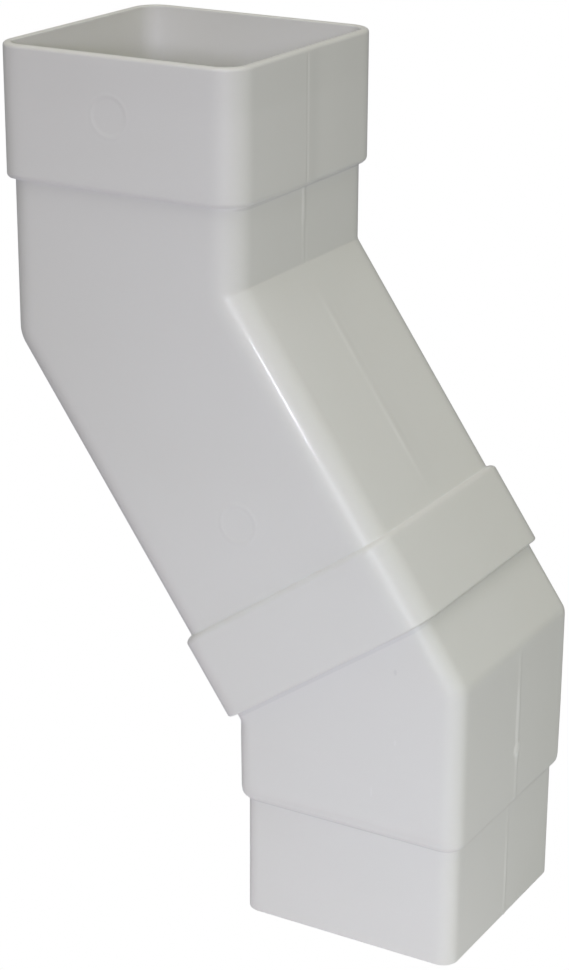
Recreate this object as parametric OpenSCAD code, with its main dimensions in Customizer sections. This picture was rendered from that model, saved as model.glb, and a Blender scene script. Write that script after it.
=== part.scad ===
// Offset downpipe elbow in square section, two moulded fittings pushed together.
//
// The upper elbow has a square socket at its top for the pipe above, a bend,
// a long inclined leg and a short collar whose mouth looks down the incline.
// The lower elbow plugs into that collar as far as a stop, bends back to
// vertical, and steps in to a spigot that goes inside the pipe below.
//
// Millimetres, +Z up, at the size of the real thing. The origin is the centre
// of the spigot's open end. The offset lies in the XZ plane: the upper axis
// stands at x = -axis_offset, the lower axis at x = 0.

/* [Downpipe] */
// Outside width of the square pipe that the fittings are made for
pipe_w = 65; // [60:0.5:80]
// Corner radius of that pipe, outside
pipe_r = 4.9; // [4:0.1:5.5]
// Gap on each side between the pipe and a socket's wall
clearance = 0.25; // [0.1:0.05:0.4]
// Wall thickness of both mouldings
wall = 2.2; // [1.8:0.1:2.4]

/* [Offset] */
// Angle of the inclined leg from the vertical
bend = 35; // [30:1:40]
// Distance between the upper and the lower vertical axis
axis_offset = 64.1; // [62:0.1:90]
// Outside radius of the upper bend on its outer side
bend_r = 10; // [9:0.5:12]

/* [Upper elbow] */
// How much wider the upper elbow's legs are than the pipe
upper_extra = 1.8; // [1.6:0.1:2.2]
// Corner radius of the upper elbow's legs
upper_r = 7.3; // [6:0.1:8]
// Length of the vertical leg, from the bend's centre to the socket
upper_leg = 30.2; // [28:0.1:40]
// Wall thickness of the top socket
socket_wall = 2.25; // [2.1:0.05:3]
// Outside length of the top socket
socket_len = 34.2; // [25:0.1:45]
// Edge radius of the top socket's lower shoulder
socket_edge = 1.7; // [1:0.1:3]
// Radius on the outer edge of the top socket's rim
rim_edge = 0.8; // [0.4:0.1:1]
// Wall thickness of the collar at the lower end of the incline
collar_wall = 2.1; // [2:0.05:3]
// Outside length of the collar
collar_len = 22.25; // [16:0.05:24]
// Distance from the lower bend's inner crease up to the collar's rim
collar_gap = 0.5; // [0.5:0.1:3]
// Edge radius of the collar's upper shoulder
collar_edge = 1.8; // [1:0.1:2.4]
// Corner radius of both sockets, outside
socket_r = 7.3; // [6.5:0.1:8]
// Thickness of the ledge that stops the pipe inside each socket
ledge = 2.4; // [1.8:0.1:3]

/* [Lower elbow] */
// How much wider than the pipe the inclined plug is
plug_extra = 0.1; // [-0.1:0.05:0.15]
// How much narrower than the pipe the vertical leg is
leg_less = 1; // [0.6:0.1:1.6]
// How much less deep than the pipe the lower elbow is, across the offset
depth_less = 0.5; // [0.2:0.1:1]
// Corner radius of the lower elbow
lower_r = 4.8; // [4:0.1:5.2]
// Outside radius of the lower bend on its outer side
low_bend_r = 5.5; // [5.5:0.5:10]
// Length of the vertical leg, from the shoulder to the bend's centre
lower_leg = 32.9; // [28:0.1:40]
// Edge radius of the lower shoulder
shoulder_edge = 2.2; // [1:0.1:3]
// How much narrower than the pipe the spigot is, so that it goes inside it
spigot_less = 4.6; // [4.4:0.1:7]
// Corner radius of the spigot
spigot_r = 4.3; // [3.5:0.1:5]
// Length of the spigot, from its end to the shoulder
spigot_len = 32.4; // [20:0.1:45]

/* [Hidden] */
$fn = 64;
upvc = [0.82, 0.82, 0.82];
// step between a leg and the arc of its bend
seam = 0.03;

sb = sin(bend);
cb = cos(bend);
// half widths of the legs, the two sockets, the plug and the spigot
upper_h = (pipe_w + upper_extra) / 2;
bore_h = pipe_w / 2 + clearance;
socket_h = bore_h + socket_wall;
collar_h = bore_h + collar_wall;
plug_h = (pipe_w + plug_extra) / 2;
leg_h = (pipe_w - leg_less) / 2;
depth_h = (pipe_w - depth_less) / 2;
spigot_h = (pipe_w - spigot_less) / 2;
// corner radius of a socket's bore
bore_r = pipe_r + clearance;
// heights of the two bends' centres, and the incline's length between them
low_bend_z = spigot_len + lower_leg;
up_bend_z = low_bend_z + axis_offset * cb / sb;
incline = axis_offset / sb;
// the collar's two ends, measured down the incline from the upper bend's centre
collar_at = plug_h * tan(bend / 2) + collar_gap;
collar_rim = incline - collar_at;
collar_top = collar_rim - collar_len;
// the plug's end stands on the collar's ledge
plug_len = collar_at + collar_len - ledge;

// Rounding that goes between two flats. Its arc is a hair larger than its
// width, so it leaves each flat at about 3 degrees: surfaces that are exactly
// tangent have no definite edge between them.
module rounding(r) {
    intersection() {
        circle(1.0015 * r);
        square(2 * r, center = true);
    }
}

// rounded rectangle from half sizes
module outline(hx, hy, r) {
    square([2 * hx, 2 * (hy - r)], center = true);
    square([2 * (hx - r), 2 * hy], center = true);
    for (x = [-1, 1], y = [-1, 1])
        translate([x * (hx - r), y * (hy - r)]) rounding(r);
}

// side view of a block, its lower edges rounded by e and its upper ones by f
module side_view(h, len, e, f) {
    translate([-h, e]) square([2 * h, len - e - f]);
    translate([-h + e, 0]) square([2 * (h - e), len / 2]);
    translate([-h + f, len / 2]) square([2 * (h - f), len / 2]);
    for (x = [-1, 1]) {
        translate([x * (h - e), e]) rounding(e);
        if (f > 0) translate([x * (h - f), len - f]) rounding(f);
    }
}

// block standing on z = 0, its corners rounded by r, the edge round its foot
// by e and the edge round its top by f
module block(hx, hy, r, len, e, f = 0) {
    intersection() {
        linear_extrude(len) outline(hx, hy, r);
        rotate([90, 0, 0])
            linear_extrude(2 * hy + 2, center = true) side_view(hx, len, e, f);
        rotate([90, 0, 90])
            linear_extrude(2 * hx + 2, center = true) side_view(hy, len, e, f);
    }
}

// A bent bar in square section with its bend's centre at the origin: one leg
// goes straight up for up_len, the other down the incline for down_len. The
// outer side of the bend is an arc of radius rb, the inner side is a mitre.
// hv and hi are the half widths of the two legs, hy is the half depth. The arc
// lies a seam's width below the legs, so that no surfaces are tangent. The two
// legs are turned by the same angle from the bend's middle line, which keeps
// the mitre exact. The edge round the upright leg's end is rounded by e, and
// what carries on from that leg is its child.
module bent_bar(hv, hi, hy, r, rb, up_len, down_len, e = 0) {
    cx = -hv + rb;
    cz = (-hi + rb - cb * cx) / sb;
    sc = sb * cx - cb * cz;
    rotate([0, 90 - bend / 2, 0]) {
        rotate([0, bend / 2 - 90, 0]) {
            if (e > 0) translate([0, 0, up_len]) mirror([0, 0, 1])
                block(hv, hy, r, up_len - cz, e);
            else translate([0, 0, cz]) linear_extrude(up_len - cz)
                outline(hv, hy, r);
            translate([cx, 0, cz]) rotate([90, 0, 0])
                rotate_extrude() intersection() {
                    translate([rb - hv, 0]) outline(hv - seam, hy - seam, r);
                    translate([0, -hy]) square([rb, 2 * hy]);
                }
            children();
        }
        rotate([0, 90 - bend / 2, 0]) translate([0, 0, sc])
            linear_extrude(down_len - sc) outline(hi, hy, r);
    }
}

// puts a thing that stands on z = 0 on the incline, d from the bend's centre
module on_incline(d) {
    rotate([0, 180 - bend, 0]) translate([0, 0, d]) children();
}

module upper_elbow() {
    h = upper_h;
    color(upvc) translate([-axis_offset, 0, up_bend_z]) difference() {
        union() {
            bent_bar(h, h, h, upper_r, bend_r, upper_leg + 5, collar_top + 5);
            // top socket, shoulder down, mouth up
            translate([0, 0, upper_leg]) block(socket_h, socket_h, socket_r,
                socket_len, socket_edge, rim_edge);
            // collar, shoulder up the incline, mouth down it
            on_incline(collar_top) block(collar_h, collar_h, socket_r,
                collar_len, collar_edge);
        }
        // water way
        bent_bar(h - wall, h - wall, h - wall, upper_r - wall, bend_r - wall,
            upper_leg + socket_len + 1, collar_rim + 1);
        // the two sockets' bores, down to the ledges that stop the pipe
        translate([0, 0, upper_leg + ledge])
            linear_extrude(socket_len) outline(bore_h, bore_h, bore_r);
        on_incline(collar_top + ledge)
            linear_extrude(collar_len) outline(bore_h, bore_h, bore_r);
    }
}

module lower_elbow() {
    // the spigot's wall is a little thinner than the rest
    t = wall - 0.2;
    // drawn upside down, so that the vertical leg points up as in bent_bar
    color(upvc) translate([0, 0, low_bend_z]) rotate([0, 180, 0])
        difference() {
            bent_bar(leg_h, plug_h, depth_h, lower_r, low_bend_r, lower_leg,
                plug_len, shoulder_edge)
                translate([0, 0, lower_leg - 5])
                    linear_extrude(spigot_len + 5)
                        outline(spigot_h, spigot_h, spigot_r);
            // water way, then the spigot's bore
            bent_bar(leg_h - wall, plug_h - wall, depth_h - wall,
                lower_r - wall, low_bend_r - wall, lower_leg - wall, plug_len + 1)
                translate([0, 0, lower_leg - 10]) linear_extrude(low_bend_z)
                    outline(spigot_h - t, spigot_h - t, spigot_r - t);
        }
}

upper_elbow();
lower_elbow();
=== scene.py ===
"""Looks of the square offset downpipe elbow: two glossy pale grey mouldings pushed together."""

import math

import bpy
import numpy as np
from mathutils import Matrix, Vector


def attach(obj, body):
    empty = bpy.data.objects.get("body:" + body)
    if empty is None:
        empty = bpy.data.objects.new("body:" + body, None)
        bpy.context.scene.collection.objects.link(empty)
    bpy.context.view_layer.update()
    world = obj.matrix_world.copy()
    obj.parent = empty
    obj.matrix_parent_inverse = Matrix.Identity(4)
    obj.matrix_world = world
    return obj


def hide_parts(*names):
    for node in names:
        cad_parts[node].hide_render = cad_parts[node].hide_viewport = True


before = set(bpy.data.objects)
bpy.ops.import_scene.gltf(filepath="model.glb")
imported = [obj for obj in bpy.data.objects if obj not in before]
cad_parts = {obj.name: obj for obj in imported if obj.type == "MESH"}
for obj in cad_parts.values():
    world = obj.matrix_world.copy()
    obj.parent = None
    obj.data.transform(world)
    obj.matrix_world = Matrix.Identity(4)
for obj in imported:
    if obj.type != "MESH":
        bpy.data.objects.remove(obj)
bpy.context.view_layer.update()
scene = bpy.context.scene

# ---------------------------------------------------------------- sizes, mm
TH = math.radians(35.0)
SN, CS, T2 = math.sin(TH), math.cos(TH), math.tan(TH / 2)
U = np.array([SN, -CS])  # down the incline, in the side view (x, z)
M = np.array([CS, SN])  # across the incline, towards the concave side
UP_BEND = np.array([-64.1, 156.844])
LOW_BEND = np.array([0.0, 65.3])

WALL = 2.2
UP_H, UP_R = 33.4, 7.3
SOCK_H, SOCK_R = 34.93, 7.3
COL_H = 34.85
BORE_H, BORE_R = 32.75, 5.15
UP_LEG, SOCK_LEN, LEDGE = 30.2, 34.2, 2.4
COL_RIM = 100.993
COL_TOP = COL_RIM - 22.25
PLUG_H, LEG_H = 32.55, 31.74
LOW_R, SPIG_H, SPIG_R = 4.8, 30.2, 4.3
LOW_LEG, SPIG_LEN = 32.9, 32.4
PLUG_LEN = 10.763 + 22.25 - LEDGE
BEND_R, LOW_BEND_R, CREASE_R = 10.0, 5.0, 0.9

# ---------------------------------------------------------------- rings
# A ring is one closed loop round the section. It starts on the concave face,
# goes round by +Y and the convex face, and comes back by -Y.
NC = 9
FRACS = np.array([-1, -0.97, -0.9, -0.78, -0.64, -0.5, -0.36])
NEAR = np.array([-3.2, -1.7, -1.1, -0.8, -0.6, -0.4, -0.2, 0.0, 0.2, 0.4, 0.6, 0.8, 1.1, 1.5, 2.0, 2.6, 3.5, 4.6, 6.0, 7.8])
FINE = np.arange(-7.35, 7.36, 0.35)
SIDE_FAR = np.array([-26.1, -25.4, -23.5, -20.5, -17, -13.5, -10.2])
SIDE_A = np.concatenate([SIDE_FAR, FINE, -SIDE_FAR[::-1]]) / 26.1
SIDE_B = np.array([-26.1, -25.4, -22, -16, -10, -4, 0, 4, 10, 16, 22, 25.4, 26.1]) / 26.1


def flat_ys(w, yp):
    """Places across a face that holds the mould's parting line at yp."""
    return np.concatenate([w * FRACS, yp + NEAR, -w * FRACS[::-1]])


def ring(a, na, b, nb, hy, r, yp):
    """Points and outward normals of one ring, and a code for the face of each point."""
    w = hy - r
    ys = flat_ys(w, yp)
    ph = np.linspace(0, math.pi / 2, NC + 1)
    pts, nrm, tag = [], [], []

    def add(p, y, n, ny, t):
        pts.append((p[0], y, p[1]))
        nrm.append((n[0], ny, n[1]))
        tag.append(t)

    def corner(p, n, sy, angles):
        for f in angles:
            add(p + n * r * (1 - math.cos(f)), sy * (w + r * math.sin(f)), -n * math.cos(f), sy * math.sin(f), 9)

    for y in ys:
        add(a, y, -na, 0, 1)
    corner(a, na, 1, ph[1:])
    pa, pb = a + na * r, b + nb * r
    for f in SIDE_B[::-1][1:-1]:
        add(pb + (pa - pb) * (f + 1) / 2, hy, np.zeros(2), 1, 2)
    corner(b, nb, 1, ph[1:][::-1])
    for y in ys[::-1]:
        add(b, y, -nb, 0, 3)
    corner(b, nb, -1, ph[1:])
    for f in SIDE_A[1:-1]:
        add(pb + (pa - pb) * (f + 1) / 2, -hy, np.zeros(2), -1, 4)
    corner(a, na, -1, ph[1:][::-1])
    return np.array(pts), np.array(nrm), np.array(tag)


def v_station(z, h):
    """Both sides of the upright leg at height z, each with its normal into the solid."""
    return np.array([h, z]), np.array([-1.0, 0]), np.array([-h, z]), np.array([1.0, 0])


def i_station(s, h):
    """Both sides of the incline at distance s down it."""
    return s * U + h * M, -M, s * U - h * M, M.copy()


def bend_stations(hv, hi, rc, rb, z_top, s_bot):
    """Stations round the bend: an arc of rb on the convex side, one of rc in the crease."""
    sc = (hv - hi * CS) / SN
    zc = -sc * CS + hi * SN
    ci = np.array([hv + rc, zc + rc * T2])
    co = np.array([-hv + rb, -zc + rb * T2])
    inner, outer = [], []
    for z in np.linspace(z_top, ci[1], 8)[:-1]:
        inner.append((np.array([hv, z]), np.array([-1.0, 0])))
    for f in np.linspace(0, TH, 11):
        n = np.array([-math.cos(f), -math.sin(f)])
        inner.append((ci + rc * n, n))
    for s in np.linspace(sc + rc * T2, s_bot, 8)[1:]:
        inner.append((s * U + hi * M, -M))
    for z in np.linspace(z_top, co[1], 7)[:-1]:
        outer.append((np.array([-hv, z]), np.array([1.0, 0])))
    for f in np.linspace(0, TH, 13):
        n = np.array([math.cos(f), math.sin(f)])
        outer.append((co - rb * n, n))
    for s in np.linspace(-sc + rb * T2, s_bot, 7)[1:]:
        outer.append((s * U - hi * M, M.copy()))
    return [(a, na, b, nb) for (a, na), (b, nb) in zip(inner, outer, strict=True)]


def arc(c0, c1, rad, f0, f1, n):
    """n points of an arc in (along, half width)."""
    f = np.linspace(math.radians(f0), math.radians(f1), n)
    return [(c0 + rad * math.cos(t), c1 + rad * math.sin(t)) for t in f]


def dense(lo, hi, step):
    return list(np.arange(lo, hi + step / 2, step))


class Skin:
    """A run of rings, kept in order. skin 0 is outside, 1 inside, 2 an end face.

    yp is where the next ring's parting line is."""

    def __init__(self, yp):
        self.yp, self.p, self.n, self.t, self.k, self.y = yp, [], [], [], [], []

    def put(self, st, hy, r, skin=0):
        p, n, t = ring(*st, hy, r, self.yp)
        if skin == 1:
            n = -n
        self.p.append(p), self.n.append(n), self.t.append(t)
        self.k.append(np.full(len(t), skin)), self.y.append(np.full(len(t), self.yp))

    def arrays(self):
        return tuple(np.stack(x) for x in (self.p, self.n, self.t, self.k, self.y))


def smooth(x):
    x = np.clip(x, 0, 1)
    return x * x * (3 - 2 * x)


def wave(p, k):
    """Very low, smooth unevenness of a moulded wall, about -1 to 1."""
    x, y, z = p[..., 0] / 10, p[..., 1] / 10, p[..., 2] / 10
    return (
        np.sin(0.83 * x + 1.3 * k + 0.6 * np.sin(0.7 * z + k))
        * np.sin(0.91 * z + 0.37 * y + 2.1 * k)
        + 0.6 * np.sin(1.37 * y + 0.53 * x - k) * np.sin(0.61 * z + 1.7 * y + 0.9)
    ) / 1.6


def bump_ring(d, rad, half, height):
    return height * smooth(1.4 - np.abs(d - rad) / half)


# ---------------------------------------------------------------- upper elbow
def upper_rings():
    s = Skin(-1.4)
    top = UP_LEG + SOCK_LEN
    # inside of the top socket at the rim, the rim, and its rounded outer edge
    for z, h in arc(top - 0.45, BORE_H + 0.45, 0.45, 270, 360, 5):
        s.put(v_station(z, h), h, BORE_R + (h - BORE_H), 2)
    rim = 0.95
    for h in (BORE_H + 0.7, SOCK_H - rim - 0.2):
        s.put(v_station(top, h), h, SOCK_R - (SOCK_H - h), 2)
    for z, h in arc(top - rim, SOCK_H - rim, rim, 0, 90, 9):
        s.put(v_station(z, h), h, SOCK_R - (SOCK_H - h), 0)
    # outside of the socket, denser at the round mark
    zs = [top - 1.6, top - 3.5, top - 6] + dense(49.8 - 6.3, 49.8 + 6.3, 0.35)[::-1] + [41, 38.5, 36, 34.2, 32.8]
    for z in zs:
        s.put(v_station(z, SOCK_H), SOCK_H, SOCK_R)
    # rounded shoulder, a small fillet, then the leg
    e = 1.65
    end = math.degrees(math.acos((e - (SOCK_H - UP_H)) / e))
    z0 = UP_LEG + e
    for z, h in arc(z0, SOCK_H - e, e, 90, 180, 11):
        if h > UP_H + 0.14:
            s.put(v_station(z, h), h, SOCK_R)
    zf = z0 - e * math.sin(math.radians(end))
    s.yp = -0.5
    for dz, dh in ((0.0, 0.1), (-0.04, 0.04), (-0.12, 0.0), (-0.4, 0.0), (-1.2, 0.0)):
        s.put(v_station(zf + dz, UP_H + dh), UP_H + dh, UP_R)
    for z in (27.8, 26, 24.2, 22.4, 20.6):
        s.put(v_station(z, UP_H), UP_H, UP_R)
    for st in bend_stations(UP_H, UP_H, CREASE_R, BEND_R, 17.0, 17.0):
        s.put(st, UP_H, UP_R)
    for d in [*range(20, 52, 2), *dense(59 - 6.3, 59 + 6.3, 0.35), 67, 69, 71, 73, 75, 76.4]:
        s.yp = -0.3 - 0.5 * min(d / 60, 1)
        s.put(i_station(d, UP_H), UP_H, UP_R)
    # the collar: fillet, rounded shoulder, wall, and the crisp lip of its mouth
    e = 1.5
    edge = COL_TOP - 0.5
    end = math.acos((e - (COL_H - UP_H)) / e)
    zf = edge + e - e * math.sin(end)
    for dz, dh in ((-1.0, 0.0), (-0.5, 0.0), (-0.22, 0.03), (-0.07, 0.1), (0.0, 0.22)):
        s.put(i_station(zf + dz, UP_H + dh), UP_H + dh, UP_R)
    for z, h in arc(edge + e, COL_H - e, e, 180, 90, 11):
        if h > UP_H + 0.3:
            s.put(i_station(z, h), h, SOCK_R)
    for d in (COL_TOP + 3.2, COL_TOP + 6, COL_TOP + 10, COL_TOP + 14, COL_TOP + 18, COL_TOP + 20.8):
        s.put(i_station(d, COL_H), COL_H, SOCK_R)
    lip = 0.6
    for d, h in arc(COL_RIM - lip, COL_H - lip, lip, 90, 0, 6):
        s.put(i_station(d, h), h, SOCK_R - (COL_H - h))
    for h in (COL_H - 0.85, BORE_H + 0.5):
        s.put(i_station(COL_RIM, h), h, BORE_R + (h - BORE_H), 2)
    for d, h in arc(COL_RIM - 0.25, BORE_H + 0.25, 0.25, 360, 270, 5):
        s.put(i_station(d, h), h, BORE_R + (h - BORE_H), 2)
    # inside, from the collar's bore up to the top socket's
    for d in (COL_RIM - 2, COL_RIM - 8, COL_RIM - 14, COL_TOP + LEDGE + 0.5):
        s.put(i_station(d, BORE_H), BORE_H, BORE_R, 1)
    for d, h in arc(COL_TOP + LEDGE + 0.3, BORE_H - 0.3, 0.3, 90, 180, 4):
        s.put(i_station(d, h), h, BORE_R, 1)
    hi = UP_H - WALL
    for d, h in arc(COL_TOP + LEDGE - 0.3, hi + 0.3, 0.3, 360, 270, 4):
        s.put(i_station(d, h), h, UP_R - WALL, 1)
    for d in (78, 70, 60, 50, 40, 30, 21):
        s.put(i_station(d, hi), hi, UP_R - WALL, 1)
    for st in bend_stations(hi, hi, CREASE_R + WALL, BEND_R - WALL, 17.0, 17.0)[::-1]:
        s.put(st, hi, UP_R - WALL, 1)
    for z in (21, 25, 29.5, 32.1):
        s.put(v_station(z, hi), hi, UP_R - WALL, 1)
    zl = UP_LEG + LEDGE
    for z, h in arc(zl - 0.3, hi + 0.3, 0.3, 270, 360, 4):
        s.put(v_station(z, h), h, UP_R - WALL, 1)
    for z, h in arc(zl + 0.3, BORE_H - 0.3, 0.3, 180, 90, 4):
        s.put(v_station(z, h), h, BORE_R, 1)
    for z in (zl + 0.8, 40, 46, 52, 58, 62, top - 1.2):
        s.put(v_station(z, BORE_H), BORE_H, BORE_R, 1)
    p, n, t, k, y = s.arrays()
    # the shoulder's edge stands a little higher along the near face and its right corner
    x, y1, z = p[..., 0], p[..., 1], p[..., 2]
    higher = np.where(t == 4, 1.0, 0.0)
    higher = np.where((t == 9) & (y1 < 0), np.where(x > 0, 1.0, 1 - smooth((-x - 28.3) / 5)), higher)
    higher = np.where(t == 1, 1 - smooth((y1 + 25) / 16), higher)
    p[..., 2] += np.where(k == 0, 0.6 * higher * between(z, 24, 40, 5), 0.0)
    return p, n, t, k, y


# ---------------------------------------------------------------- lower elbow
def lower_rings():
    """Drawn the other way up, so that the bend matches the upper one's."""
    s = Skin(1.8)
    depth = 32.25
    ty = lambda t: 32.0 + 0.45 * t  # it narrows a little towards the spigot, as drafted mouldings do
    end = PLUG_LEN
    inn, r_in = PLUG_H - WALL, LOW_R - WALL
    # the plug's end, hidden in the collar
    for h in (inn + 0.3, PLUG_H - 0.6):
        s.put(i_station(end, h), h - 0.1, r_in + (h - inn), 2)
    for d, h in arc(end - 0.5, PLUG_H - 0.5, 0.5, 0, 90, 5):
        s.put(i_station(d, h), h - 0.1, LOW_R - (PLUG_H - h), 2)
    for d in (end - 2, 24, 20, 17):
        s.put(i_station(d, PLUG_H), 32.45, LOW_R)
    for st in bend_stations(LEG_H, PLUG_H, CREASE_R, LOW_BEND_R, 14.0, 15.0)[::-1]:
        s.put(st, 32.4, LOW_R)
    for z in dense(14.4, 20.4, 0.3) + dense(21, 30.2, 0.8):
        s.put(v_station(z, LEG_H), ty(1 - (z - 14) / 17 * 0.9), LOW_R)
    # shoulder, fillet, spigot
    e = 2.2
    step = LEG_H - SPIG_H
    ang = math.acos((e - step) / e)
    z0 = LOW_LEG - e
    for z, h in arc(z0, LEG_H - e, e, 90, 0, 13):
        if h > SPIG_H + 0.14:
            s.put(v_station(z, h), h + 0.05, LOW_R - 0.2 * (LEG_H - h))
    zf = z0 + e * math.sin(ang)
    s.yp = 1.2
    for dz, dh in ((0.0, 0.02), (0.06, -0.08), (0.3, -0.1), (0.55, -0.03), (1.2, 0.0)):
        s.put(v_station(zf + dz, SPIG_H + dh), SPIG_H + dh, SPIG_R)
    base = LOW_LEG + SPIG_LEN
    for z in (36, 40, 44, 48, 52, 56, 60, 63, base - 1.2):
        s.put(v_station(z, SPIG_H), SPIG_H, SPIG_R)
    lip = 0.3
    for z, h in arc(base - lip, SPIG_H - lip, lip, 90, 0, 6):
        s.put(v_station(z, h), h, SPIG_R - (SPIG_H - h))
    ib = SPIG_H - 2.0
    for h in (SPIG_H - 0.9, ib + 0.45):
        s.put(v_station(base, h), h, SPIG_R - (SPIG_H - h), 2)
    for z, h in arc(base - 0.3, ib + 0.3, 0.3, 360, 270, 4):
        s.put(v_station(z, h), h, SPIG_R - 2.0 + (h - ib), 2)
    for z in (62, 55, 48, 40, 34, LOW_LEG - WALL + 0.6):
        s.put(v_station(z, ib), ib, SPIG_R - 2.0, 1)
    hv = LEG_H - WALL
    for z, h in arc(LOW_LEG - WALL + 0.3, ib + 0.3, 0.3, 270, 180, 4):
        s.put(v_station(z, h), h, r_in, 1)
    zc = LOW_LEG - WALL
    for z, h, y in ((zc, hv - 0.35, 29.7), (zc - 0.1, hv - 0.1, 29.95), (zc - 0.35, hv, 30.05), (zc - 1, hv, 30.05), (24, hv, 30.05), (20, hv, 30.05)):
        s.put(v_station(z, h), y, r_in, 1)
    for st in bend_stations(hv, PLUG_H - WALL, CREASE_R + WALL, LOW_BEND_R - WALL, 17.0, 17.0):
        s.put(st, 30.05, r_in, 1)
    for d in (20, 25, end - 0.8):
        s.put(i_station(d, inn), 30.05, r_in, 1)
    return s.arrays()


# ---------------------------------------------------------------- relief on the outside
def ridge(u, near, far, height):
    """Low rounded ridge on the parting line, u from its middle, with its two half widths."""
    return height * smooth(1 - np.abs(u) / np.where(u < 0, near, far))


def between(v, lo, hi, soft):
    """1 between lo and hi, 0 outside, soft at both ends."""
    return smooth((v - lo) / soft) * smooth((hi - v) / soft)


def uneven(v, k):
    """Slow change along a line, about 0.4 to 1.6."""
    return 1 + 0.35 * np.sin(v / 4.3 + k) + 0.25 * np.sin(v / 1.9 + 2.3 * k)


def relief_upper(p, t, k, yp):
    out = k == 0
    x, y, z = p[..., 0], p[..., 1], p[..., 2]
    s = x * U[0] + z * U[1]
    m = x * M[0] + z * M[1]
    u = y - yp
    up = z > x * T2
    sock = z > UP_LEG + 0.3
    col = ~up & (s > COL_TOP + 1.5)
    # the two halves of the mould met along both narrow faces: a fine groove on
    # the socket, a ridge on the legs, almost nothing on the collar
    run = uneven(np.where(up, z, s), 0.7)
    h = np.where(up, 0.05 + 0.15 * smooth((z - 15) / 7), np.where(col, 0.015, 0.008 + 0.1 * between(s, 16, 76, 8))) * run
    near, far = np.where(up, 1.0, 1.7), np.where(up, 1.7, 2.8)
    seam = np.where(sock, -ridge(u, 0.85, 0.85, 0.07 * run), ridge(u, near, far, h))
    d = np.where(out & (t == 1), seam, 0.0)
    d += np.where(out & (t == 3), np.where(sock, -ridge(u, 0.8, 0.8, 0.05), ridge(u, 1.0, 1.0, 0.5 * h)), 0.0)
    d -= np.where(out & (t == 1) & up & ~sock, ridge(u - 1.2, 0.9, 0.9, 0.08) * smooth((22 - z) / 5), 0.0)
    # beside it the socket sinks a little, then rises again
    dip = smooth((u - 0.6) / 5.2) * smooth((15 - u) / 8)
    d -= np.where(out & (t == 1) & sock, 0.2 * dip, 0.0)
    # and the far half of the incline lies a little lower
    low = smooth((u - 0.4) / 8) * smooth((30 - u) / 14)
    d -= np.where(out & (t == 1) & ~up & ~col, 0.26 * low * between(s, 12, 78, 8), 0.0)
    # round ejector marks on the near side
    side = out & (t == 4)
    r1 = np.hypot(x + 0.8, z - 49.8)
    r2 = np.hypot(s - 59.0, m - 0.5)
    d += np.where(side & sock, bump_ring(r1, 5.1, 0.55, 0.11) - 0.1 * smooth(2.6 - r1 / 2.6), 0)
    d += np.where(side & ~up & ~col, bump_ring(r2, 5.0, 0.5, 0.13) - 0.05 * smooth(1.2 - r2 / 4.4), 0)
    d += np.where(out & (t != 9), 0.03 * (wave(p, 0.4) - 1), -0.03)
    return d


def relief_lower(p, t, k, yp):
    out = k == 0
    x, y, z = p[..., 0], p[..., 1], p[..., 2]
    u = y - yp
    spig = z > LOW_LEG
    leg = ~spig & (z > x * T2)
    # strong on the leg, wide and low on the spigot, almost gone under the collar
    h = np.where(spig, 0.13, np.where(leg, 0.11 + 0.14 * between(z, 0, 25, 6), 0.012)) * uneven(z, 2.1)
    near, far = np.where(spig, 1.1, 1.6), np.where(spig, 1.1, 1.2)
    d = np.where(out & (t == 3), ridge(u, near, far, h), 0.0)
    d += np.where(out & (t == 1), ridge(u, near, far, 0.5 * h), 0.0)
    # nub where the material ran into the mould
    nub = np.hypot((u + 0.45) / np.where(u < -0.45, 1.15, 2.0), (z - 17.1) / 1.7)
    d = np.where(out & (t == 3) & leg, np.maximum(d, 0.27 * smooth(1.3 - nub)), d)
    # nothing stands further out than the leg's own size
    d = np.minimum(d, 0.26)
    d += np.where(out & (t != 9), 0.025 * (wave(p, 1.9) - 1), -0.025)
    return d


def loft(name, rings, relief, place, flip):
    """One closed mesh through all the rings; the last ring joins the first."""
    p, n, t, k, y = rings
    p = p + n * relief(p, t, k, y)[..., None]
    nr, nc = p.shape[:2]
    co = p.reshape(-1, 3).copy()
    if place[1]:  # turned half a turn in the side view
        co[:, 0] *= -1
        co[:, 2] *= -1
    co[:, 0] += place[0][0]
    co[:, 2] += place[0][1]
    i = np.arange(nr * nc).reshape(nr, nc)
    a, b = i, np.roll(i, -1, 1)
    c, e = np.roll(b, -1, 0), np.roll(i, -1, 0)
    quads = np.stack([a, b, c, e], -1).reshape(-1, 4)
    if flip:
        quads = quads[:, ::-1]
    me = bpy.data.meshes.new(name)
    me.from_pydata((co * 0.001).tolist(), [], quads.tolist())
    me.validate()
    me.update()
    ob = bpy.data.objects.new(name, me)
    scene.collection.objects.link(ob)
    me.polygons.foreach_set("use_smooth", [True] * len(me.polygons))
    return ob


def signed_volume(ob):
    me = ob.data
    me.calc_loop_triangles()
    co = np.zeros(len(me.vertices) * 3)
    me.vertices.foreach_get("co", co)
    co = co.reshape(-1, 3)
    tri = np.zeros(len(me.loop_triangles) * 3, np.int32)
    me.loop_triangles.foreach_get("vertices", tri)
    a, b, c = (co[tri.reshape(-1, 3)[:, j]] for j in range(3))
    return float(np.einsum("ij,ij->i", a, np.cross(b, c)).sum() / 6)


def build(name, rings, relief, place):
    ob = loft(name, rings, relief, place, False)
    if signed_volume(ob) < 0:
        bpy.data.objects.remove(ob)
        ob = loft(name, rings, relief, place, True)
    mod = ob.modifiers.new("weighted", "WEIGHTED_NORMAL")
    mod.mode = "FACE_AREA"
    mod.weight = 50
    return ob


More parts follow.
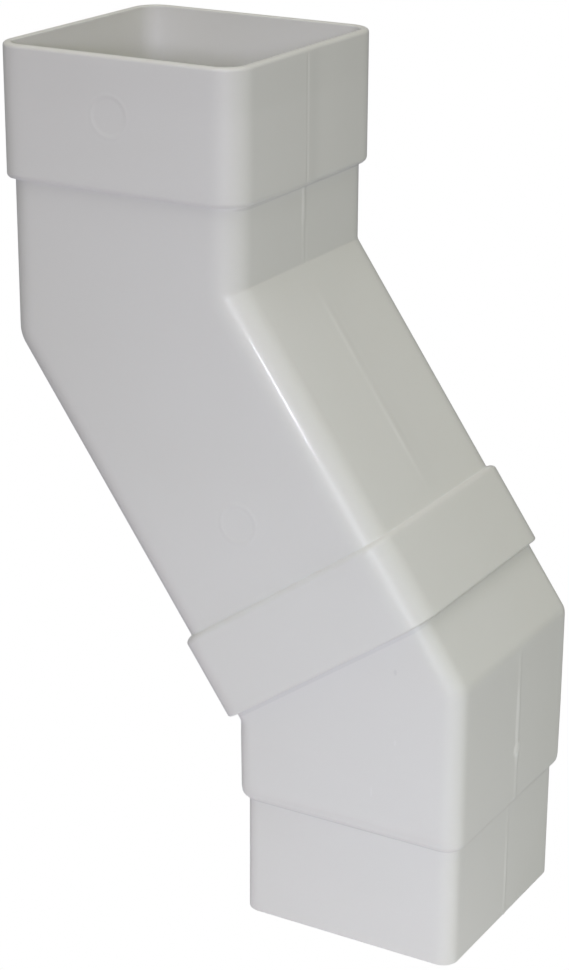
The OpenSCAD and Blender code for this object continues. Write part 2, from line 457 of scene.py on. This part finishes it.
# ---------------------------------------------------------------- material
def plastic(name, seed, tone, marks):
    """Glossy moulded plastic: faint flow tone, fine handling haze, a very low grain.

    marks are small spots of another tone, some of them painted shade and painted highlights:
    where, half sizes in mm, how bright, and how far each is turned about Y."""
    mat = bpy.data.materials.new(name)
    mat.use_nodes = True
    nt = mat.node_tree
    nt.nodes.clear()
    new = nt.nodes.new
    out = new("ShaderNodeOutputMaterial")
    bsdf = new("ShaderNodeBsdfPrincipled")
    nt.links.new(bsdf.outputs[0], out.inputs[0])
    bsdf.inputs["IOR"].default_value = 1.5
    bsdf.inputs["Coat Weight"].default_value = 0.1
    bsdf.inputs["Coat Roughness"].default_value = 0.07
    tex = new("ShaderNodeTexCoord")

    def noise(scale, detail, rough, offset):
        mp = new("ShaderNodeMapping")
        mp.inputs["Location"].default_value = (seed + offset, offset * 1.7, -seed)
        nz = new("ShaderNodeTexNoise")
        nz.inputs["Scale"].default_value = scale
        nz.inputs["Detail"].default_value = detail
        nz.inputs["Roughness"].default_value = rough
        nt.links.new(tex.outputs["Object"], mp.inputs[0])
        nt.links.new(mp.outputs[0], nz.inputs["Vector"])
        return nz

    # colour: two close tones in slow clouds
    flow = noise(22, 2, 0.5, 0.0)
    ramp = new("ShaderNodeValToRGB")
    ramp.color_ramp.elements[0].position = 0.3
    ramp.color_ramp.elements[0].color = (*[v * 0.985 for v in tone], 1)
    ramp.color_ramp.elements[1].position = 0.7
    ramp.color_ramp.elements[1].color = (tone[0], tone[1], tone[2] * 1.006, 1)
    nt.links.new(flow.outputs[0], ramp.inputs[0])
    colour = ramp.outputs[0]
    for (x, y, z), (hx, hy, hz_), level, *turned in marks:
        mp = new("ShaderNodeMapping")
        mp.vector_type = "TEXTURE"
        mp.inputs["Location"].default_value = (x / 1000, y / 1000, z / 1000)
        mp.inputs["Scale"].default_value = (hx / 1000, hy / 1000, hz_ / 1000)
        mp.inputs["Rotation"].default_value = (0, turned[0] if turned else 0, 0)
        nt.links.new(tex.outputs["Object"], mp.inputs[0])
        far = new("ShaderNodeVectorMath")
        far.operation = "LENGTH"
        nt.links.new(mp.outputs[0], far.inputs[0])
        edge = new("ShaderNodeMapRange")
        edge.inputs["From Min"].default_value = 1.25
        edge.inputs["From Max"].default_value = 0.75
        nt.links.new(far.outputs["Value"], edge.inputs[0])
        spot = new("ShaderNodeMix")
        spot.data_type = "RGBA"
        spot.inputs["B"].default_value = (level, level, level, 1)
        nt.links.new(edge.outputs[0], spot.inputs["Factor"])
        nt.links.new(colour, spot.inputs["A"])
        colour = spot.outputs["Result"]
    nt.links.new(colour, bsdf.inputs["Base Color"])
    # gloss: a little hazier in places
    haze = noise(60, 4, 0.6, 3.0)
    hz = new("ShaderNodeMapRange")
    hz.inputs["From Min"].default_value = 0.3
    hz.inputs["From Max"].default_value = 0.75
    hz.inputs["To Min"].default_value = 0.38
    hz.inputs["To Max"].default_value = 0.46
    nt.links.new(haze.outputs[0], hz.inputs[0])
    nt.links.new(hz.outputs[0], bsdf.inputs["Roughness"])
    # grain: fine moulded surface over slow sink of the walls
    fine = noise(1400, 3, 0.6, 5.0)
    bump = new("ShaderNodeBump")
    bump.inputs["Strength"].default_value = 0.05
    bump.inputs["Distance"].default_value = 0.0001
    nt.links.new(fine.outputs[0], bump.inputs["Height"])
    nt.links.new(bump.outputs[0], bsdf.inputs["Normal"])
    return mat


upper = build("upper_elbow_skin", upper_rings(), relief_upper, (UP_BEND, False))
lower = build("lower_elbow_skin", lower_rings(), relief_lower, (LOW_BEND, True))
TONE = (0.88, 0.88, 0.872)
# painted shade in the creases under the shoulders and in the collar's gap, painted
# highlight on the parting line and its nub, a dark speck, and light scuffs on the near side
# painted shade: a darker band along the crease under the top socket's shoulder, on the +X face only
UPPER_PAINTED_SHADE = (((-30.5, 0, 187.0), (2.0, 60, 0.42), 0.8),)
LOWER_MARKS_AND_PAINTED_LIGHT = (
    # painted shade: a dark line just below the collar's lip, on the near face only
    ((-5.88, -33, 73.7), (900, 4.5, 0.7), 0.82, -TH),
    # painted shade: a dark band all round the crease under the lower elbow's shoulder
    ((0, 0, 32.5), (900, 900, 0.42), 0.79),
    # painted highlight: a lighter streak along the lower leg's parting line, and a brighter spot on its nub
    ((31.9, 1.2, 56.5), (1.0, 0.95, 9.5), 0.95),
    ((31.9, 1.6, 48.2), (1.0, 1.9, 1.9), 1.0),
    ((14.0, -32.3, 78.8), (0.45, 1.0, 0.7), 0.82),
    ((14.3, -32.3, 59.9), (0.3, 1.0, 0.8), 0.91),
    ((7.95, -32.3, 44.8), (0.2, 1.0, 1.4), 0.91),
)
upper.data.materials.append(plastic("upvc_upper", 1.3, TONE, UPPER_PAINTED_SHADE))
lower.data.materials.append(plastic("upvc_lower", 7.9, TONE, LOWER_MARKS_AND_PAINTED_LIGHT))
for ob, node in ((upper, "upper_elbow"), (lower, "lower_elbow")):
    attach(ob, "root")
    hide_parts(node)

# ---------------------------------------------------------------- camera
AZ, EL, ROLL = (math.radians(v) for v in (30.0146, 20.3509, 0.3106))
back = Vector((math.sin(AZ) * math.cos(EL), -math.cos(AZ) * math.cos(EL), math.sin(EL)))
right = Vector((math.cos(AZ), math.sin(AZ), 0))
up = back.cross(right)
right, up = (
    right * math.cos(ROLL) + up * math.sin(ROLL),
    up * math.cos(ROLL) - right * math.sin(ROLL),
)
cam_at = Vector((0.2624133, -0.5165417, 0.328713))
cam = bpy.data.objects.new("camera", bpy.data.cameras.new("camera"))
cam.data.type = "PERSP"
cam.data.sensor_fit = "AUTO"
cam.data.sensor_width = 36.0
cam.data.lens = 2462.154 / 970 * 36.0
cam.data.clip_start = 0.01
turn = Matrix((right, up, back)).transposed()
cam.matrix_world = Matrix.Translation(cam_at) @ turn.to_4x4()
scene.collection.objects.link(cam)
scene.camera = cam

# ---------------------------------------------------------------- floor and light
# light that comes from overhead, from the left, from the right and from behind
SKY = (0.308, 0.29, 0.148)
LEFT = (0.206, 0.214, 0.217)
RIGHT = (0.231, 0.242, 0.181)
BACK = (0.2, 0.2, 0.28)
# watts and colour of the lamps
KEY = (0.754, (0.931, 0.841, 1.000))
BEAM = (0.074, (0.743, 0.919, 1.000))
TABLE_FRONT = (0.430, (0.988, 0.919, 1.000))
TABLE_RIGHT = (0.139, (0.964, 1.000, 0.957))
TOP = (1.230, (0.885, 0.883, 1.000))

floor_me = bpy.data.meshes.new("floor")
floor_me.from_pydata([(-4, -4, -0.002), (4, -4, -0.002), (4, 4, -0.002), (-4, 4, -0.002)], [], [(0, 1, 2, 3)])
floor = bpy.data.objects.new("floor", floor_me)
scene.collection.objects.link(floor)
fm = bpy.data.materials.new("floor_white")
fm.use_nodes = True
fm.node_tree.nodes.clear()
fo = fm.node_tree.nodes.new("ShaderNodeOutputMaterial")
fe = fm.node_tree.nodes.new("ShaderNodeEmission")
fe.inputs[0].default_value = (1, 1, 1, 1)
fe.inputs[1].default_value = 1.0
fm.node_tree.links.new(fe.outputs[0], fo.inputs[0])
floor.data.materials.append(fm)
floor.visible_diffuse = floor.visible_glossy = floor.visible_shadow = False
floor.visible_transmission = floor.visible_volume_scatter = False

world = bpy.data.worlds.new("studio")
world.use_nodes = True
wt = world.node_tree
wt.nodes.clear()


def world_node(kind, **inputs):
    node = wt.nodes.new(kind)
    for key, value in inputs.items():
        node.inputs[int(key[1:])].default_value = value
    return node


# a pale dome, brightest overhead; the camera itself sees plain white behind
link = wt.links.new
w_out = world_node("ShaderNodeOutputWorld")
w_tex = world_node("ShaderNodeTexCoord")
seen = world_node("ShaderNodeLightPath")
mix = world_node("ShaderNodeMixShader")
white = world_node("ShaderNodeBackground", _0=(1, 1, 1, 1), _1=1.0)
lobes = []
for towards, colour in (((0, 0, 1), SKY), ((-1, 0, 0), LEFT), ((1, 0, 0), RIGHT), ((0, 1, 0), BACK)):
    dot = world_node("ShaderNodeVectorMath", _1=towards)
    dot.operation = "DOT_PRODUCT"
    front = world_node("ShaderNodeMath", _1=0.0)
    front.operation = "MAXIMUM"
    lobe = world_node("ShaderNodeBackground", _0=(*colour, 1))
    link(w_tex.outputs["Generated"], dot.inputs[0])
    link(dot.outputs["Value"], front.inputs[0])
    link(front.outputs[0], lobe.inputs[1])
    lobes.append(lobe)
dome = lobes[0]
for lobe in lobes[1:]:
    both = world_node("ShaderNodeAddShader")
    link(dome.outputs[0], both.inputs[0])
    link(lobe.outputs[0], both.inputs[1])
    dome = both
link(seen.outputs["Is Camera Ray"], mix.inputs[0])
link(dome.outputs[0], mix.inputs[1])
link(white.outputs[0], mix.inputs[2])
link(mix.outputs[0], w_out.inputs[0])
scene.world = world


def area(name, at, aim, size, power, colour):
    light = bpy.data.lights.new(name, "AREA")
    light.shape = "RECTANGLE"
    light.size, light.size_y = size
    light.energy = power
    light.color = colour
    ob = bpy.data.objects.new(name, light)
    ob.matrix_world = Matrix.Translation(at) @ (Vector(aim) - Vector(at)).to_track_quat("-Z", "Y").to_matrix().to_4x4()
    ob.visible_camera = False
    scene.collection.objects.link(ob)
    return ob


middle = Vector((-0.03, 0, 0.11))
# small key light just left of the camera, with a little more of it towards the foot
key_at = cam_at + right * -0.049 + up * -0.006
area("key", key_at, middle, (0.056, 0.056), *KEY)
area("beam", key_at, Vector((0, 0, 0)), (0.056, 0.056), *BEAM).data.spread = math.radians(60)
# soft light from overhead, and from the table in front and to the right
area("top", Vector((0.0, -0.25, 0.8)), Vector((-0.06, 0, 0.15)), (0.4, 0.4), *TOP)
area("table_front", Vector((0, -0.2, -0.04)), Vector((0, -0.2, 1)), (0.6, 0.4), *TABLE_FRONT)
area("table_right", Vector((0.2, 0, -0.04)), Vector((0.2, 0, 1)), (0.4, 0.6), *TABLE_RIGHT)

scene.view_settings.view_transform = "Standard"
scene.view_settings.look = "None"
scene.view_settings.exposure = 0.0
scene.view_settings.gamma = 1.0
